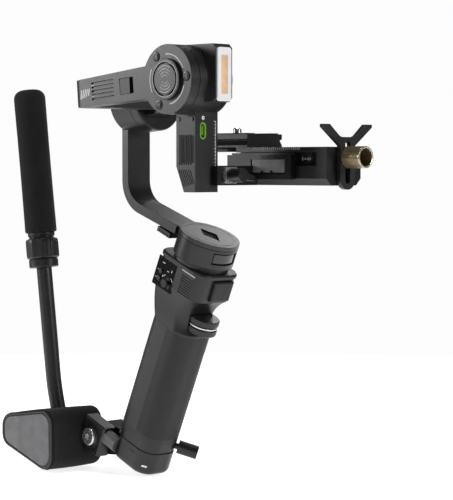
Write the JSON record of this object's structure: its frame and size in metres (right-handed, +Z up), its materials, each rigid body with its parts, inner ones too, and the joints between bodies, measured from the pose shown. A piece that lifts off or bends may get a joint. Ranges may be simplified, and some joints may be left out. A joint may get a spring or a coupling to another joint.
{
  "type": "camera gimbal",
  "caption": "Handheld motorised camera stabiliser: leaning grip, bent arms on pan, roll and tilt motors, a levelled quick-release rail with lens fork, wrist rest and sling grip.",
  "frame": {"origin": "centre of the tripod socket's mouth, in the underside of the base adapter", "axes": "+X forward, the way the camera looks; +Y to the user's left; +Z up, square to the camera plate. The handle leans 23.4 degrees forward of +Z."},
  "size_m": [0.375, 0.1302, 0.336],
  "materials": {
    "black_alloy": "satin",
    "charcoal_alloy": "satin",
    "black_plastic": "matte",
    "gloss_black": "gloss",
    "grip_rubber": "matte",
    "foam": "matte",
    "grey_plastic": "satin",
    "white_plastic": "gloss",
    "warm_lens": "frosted",
    "green_plastic": "gloss",
    "bright_steel": "bright",
    "bronze": "satin",
    "copper_winding": "enamelled",
    "circuit_board": "matte",
    "cell_wrap": "wrapped"
  },
  "bodies": {
    "handle": {"base_adapter": "black_alloy", "bottom_ring": "black_alloy", "grip_shell": "black_plastic", "grip_front_pad": "grip_rubber", "grip_side_band": "charcoal_alloy", "battery_door": "grey_plastic", "battery_cell": "cell_wrap", "head_shell": "black_plastic", "head_deck": "black_plastic", "dial_axle": "black_plastic", "control_panel": "gloss_black", "main_board": "circuit_board", "pan_motor_case": "black_alloy", "pan_motor_light": "gloss_black", "pan_stator": "copper_winding", "pan_bearing": "bright_steel"},
    "adapter_lock": {"adapter_lock_knob": "black_alloy"},
    "lower_dial": {"lower_dial": "black_alloy"},
    "upper_dial": {"upper_dial": "black_alloy"},
    "trigger": {"trigger": "grip_rubber"},
    "thumb_stick": {"thumb_stick": "grip_rubber"},
    "mode_key": {"mode_key": "black_plastic"},
    "record_key": {"record_key": "black_plastic"},
    "pan_arm": {"pan_arm": "charcoal_alloy", "roll_motor_case": "black_alloy", "roll_stator": "copper_winding"},
    "pan_lock": {"pan_lock_slider": "black_plastic"},
    "roll_lock": {"roll_lock_slider": "black_plastic"},
    "roll_cap": {"roll_rotor_cap": "black_alloy"},
    "roll_arm": {"roll_arm": "charcoal_alloy", "tilt_hub_cap": "black_alloy", "hub_screws": "bright_steel", "tilt_stator": "copper_winding"},
    "tilt_lock": {"tilt_lock_slider": "black_plastic"},
    "tilt_arm": {"tilt_arm": "charcoal_alloy", "usb_socket": "green_plastic", "tilt_arm_cover": "grey_plastic", "cover_screws": "bright_steel", "fill_light_frame": "white_plastic", "fill_light_lens": "warm_lens", "height_rail": "black_alloy"},
    "carriage": {"carriage": "black_alloy", "clamp_jaw": "grey_plastic", "lever_bracket": "bright_steel"},
    "clamp_lever": {"clamp_lever": "black_alloy"},
    "support_rail": {"support_rail": "black_alloy"},
    "camera_plate": {"camera_plate": "black_alloy", "camera_pads": "grip_rubber"},
    "camera_screw": {"camera_screw": "bright_steel"},
    "lens_fork": {"lens_fork": "charcoal_alloy"},
    "fork_knob": {"fork_knob": "bronze"},
    "wrist_rest": {"rest_knuckle": "charcoal_alloy", "rest_bolt": "bright_steel", "rest_pad": "foam", "pad_end_cap": "grey_plastic", "sling_rod": "charcoal_alloy"},
    "rest_thumb_knob": {"rest_thumb_knob": "grey_plastic"},
    "sling_grip": {"sling_tube": "black_alloy", "foam_grip": "foam"},
    "twist_collar": {"twist_collar": "black_plastic"}
  },
  "joints": [
    {"name": "pan", "type": "hinge", "parent": "handle", "child": "pan_arm", "pos_m": [0.08022, 0, 0.18539], "axis": [0.3971, 0, 0.9178], "continuous": true},
    {"name": "roll", "type": "hinge", "parent": "pan_arm", "child": "roll_cap", "pos_m": [0.13477, 0, 0.30301], "axis": [0.9966, 0, 0.0819], "range_deg": [-235, 60]},
    {"name": "arm_balance", "type": "slide", "parent": "roll_cap", "child": "roll_arm", "axis": [0, 1, 0], "range_m": [-0.012, 0.012]},
    {"name": "tilt", "type": "hinge", "parent": "roll_arm", "child": "tilt_arm", "pos_m": [0.13477, 0, 0.30301], "axis": [0, 1, 0], "range_deg": [-150, 80]},
    {"name": "height", "type": "slide", "parent": "tilt_arm", "child": "carriage", "axis": [0, 0, 1], "range_m": [0, 0.03]},
    {"name": "height_lever", "type": "hinge", "parent": "carriage", "child": "clamp_lever", "pos_m": [0.15477, -0.049, 0.23351], "axis": [1, 0, 0], "range_deg": [-40, 60]},
    {"name": "rail_slide", "type": "slide", "parent": "carriage", "child": "support_rail", "axis": [1, 0, 0], "range_m": [-0.01, 0.03]},
    {"name": "plate_slide", "type": "slide", "parent": "support_rail", "child": "camera_plate", "axis": [1, 0, 0], "range_m": [-0.002, 0.05]},
    {"name": "camera_screw_turn", "type": "hinge", "parent": "camera_plate", "child": "camera_screw", "pos_m": [0.11077, 0, 0.26301], "axis": [0, 0, 1], "continuous": true},
    {"name": "fork_height", "type": "slide", "parent": "support_rail", "child": "lens_fork", "axis": [0, 0, 1], "range_m": [-0.001, 0.016]},
    {"name": "fork_knob_turn", "type": "hinge", "parent": "support_rail", "child": "fork_knob", "pos_m": [0.22477, 0, 0.24661], "axis": [1, 0, 0], "continuous": true},
    {"name": "pan_lock_slide", "type": "slide", "parent": "pan_arm", "child": "pan_lock", "axis": [-0.9178, 0, 0.3971], "range_m": [0, 0.003]},
    {"name": "roll_lock_slide", "type": "slide", "parent": "pan_arm", "child": "roll_lock", "axis": [0, 0, 1], "range_m": [-0.004, 0]},
    {"name": "tilt_lock_slide", "type": "slide", "parent": "roll_arm", "child": "tilt_lock", "axis": [0.9966, 0, 0.0819], "range_m": [0, 0.0038]},
    {"name": "adapter_lock_turn", "type": "hinge", "parent": "handle", "child": "adapter_lock", "pos_m": [0.00943, 0, 0.0218], "axis": [0.703, 0.6428, -0.3042], "range_deg": [0, 90]},
    {"name": "lower_dial_turn", "type": "hinge", "parent": "handle", "child": "lower_dial", "pos_m": [0.07124, 0, 0.113], "axis": [0.3971, 0, 0.9178], "continuous": true},
    {"name": "upper_dial_turn", "type": "hinge", "parent": "handle", "child": "upper_dial", "pos_m": [0.07441, 0, 0.12034], "axis": [0.3971, 0, 0.9178], "continuous": true},
    {"name": "trigger_pull", "type": "hinge", "parent": "handle", "child": "trigger", "pos_m": [0.09072, 0.003, 0.14946], "axis": [0, 1, 0], "range_deg": [0, 4.5], "stiffness_Nm_per_rad": 0.4, "springref_deg": -1.15},
    {"name": "stick_tilt", "type": "hinge", "parent": "handle", "child": "thumb_stick", "pos_m": [0.05291, -0.0205, 0.14872], "axis": [0.9178, 0, -0.3971], "range_deg": [-8, 8], "stiffness_Nm_per_rad": 0.02},
    {"name": "mode_key_press", "type": "slide", "parent": "handle", "child": "mode_key", "axis": [0, 1, 0], "range_m": [0, 0.0005], "stiffness_N_per_m": 600, "springref_m": -0.0002},
    {"name": "record_key_press", "type": "slide", "parent": "handle", "child": "record_key", "axis": [0, 1, 0], "range_m": [0, 0.0005], "stiffness_N_per_m": 600, "springref_m": -0.0002},
    {"name": "rest_angle", "type": "hinge", "parent": "handle", "child": "wrist_rest", "pos_m": [-0.03604, -0.016, 0.01995], "axis": [0, 1, 0], "range_deg": [-6, 6]},
    {"name": "rest_knob_turn", "type": "hinge", "parent": "wrist_rest", "child": "rest_thumb_knob", "pos_m": [-0.01438, -0.016, 0.01712], "axis": [0.9178, 0, -0.3971], "continuous": true},
    {"name": "sling_height", "type": "slide", "parent": "wrist_rest", "child": "sling_grip", "axis": [-0.1271, 0, 0.9919], "range_m": [-0.025, 0.04]},
    {"name": "collar_turn", "type": "hinge", "parent": "sling_grip", "child": "twist_collar", "pos_m": [-0.10394, -0.015, 0.1672], "axis": [-0.1271, 0, 0.9919], "continuous": true}
  ]
}
